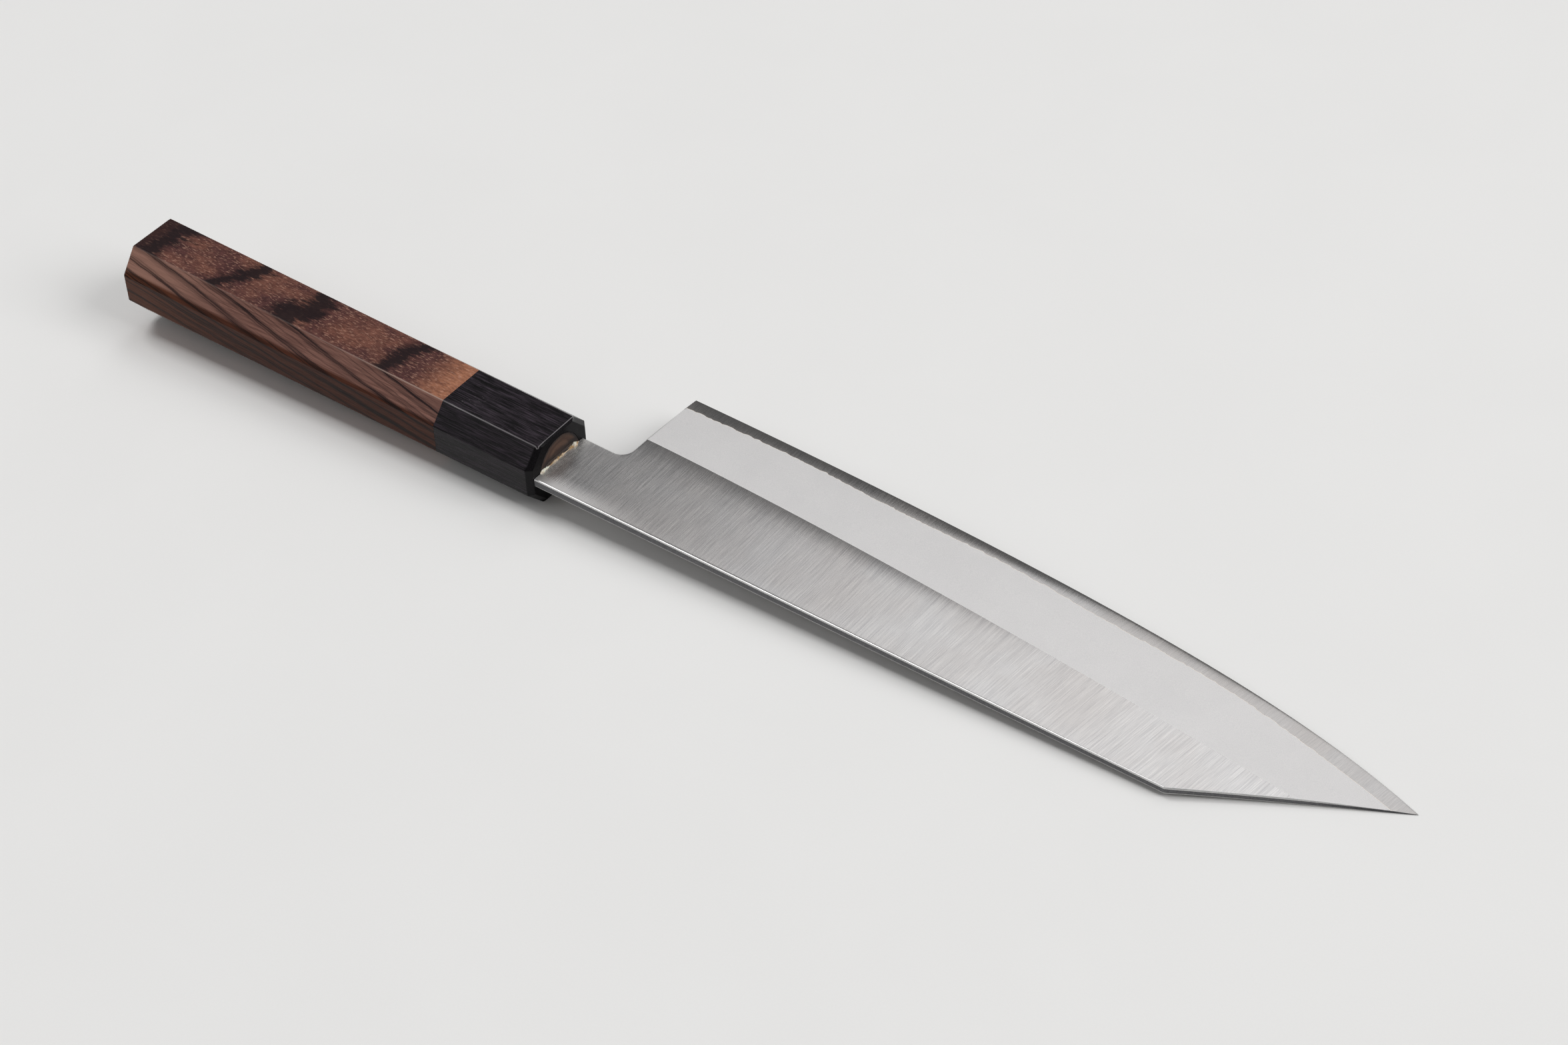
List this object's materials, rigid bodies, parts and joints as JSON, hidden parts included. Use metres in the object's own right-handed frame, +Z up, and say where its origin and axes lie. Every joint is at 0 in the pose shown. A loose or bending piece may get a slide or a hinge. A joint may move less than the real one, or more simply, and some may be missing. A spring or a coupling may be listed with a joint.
{
  "type": "bunka knife",
  "caption": "Kitchen knife with a clipped tip, a laminated wide-bevel blade and an octagonal wooden handle with a black collar, lying on its side.",
  "frame": {"origin": "centre of the footprint, on the table that the knife lies on", "axes": "+X from the butt to the tip, +Y from the spine to the cutting edge, +Z up out of the left face. The knife lies tipped 2.2 degrees nose down, on its ferrule and the blade near the tip."},
  "size_m": [0.3578, 0.0474, 0.0244],
  "materials": {
    "core_steel": "fine stone polish",
    "cladding_steel": "cross-brushed flat with a matte wide bevel",
    "ferrule_wood": "black, oiled, fine lengthwise grain",
    "grip_wood": "oiled rosewood",
    "dowel_wood": "sawn end grain, scorched round the tang",
    "adhesive": "dried glue"
  },
  "bodies": {
    "root": {"core_steel": "core_steel", "left_cladding": "cladding_steel", "right_cladding": "cladding_steel", "ferrule": "ferrule_wood", "handle_body": "grip_wood", "dowel": "dowel_wood", "tang_adhesive": "adhesive"}
  },
  "joints": []
}
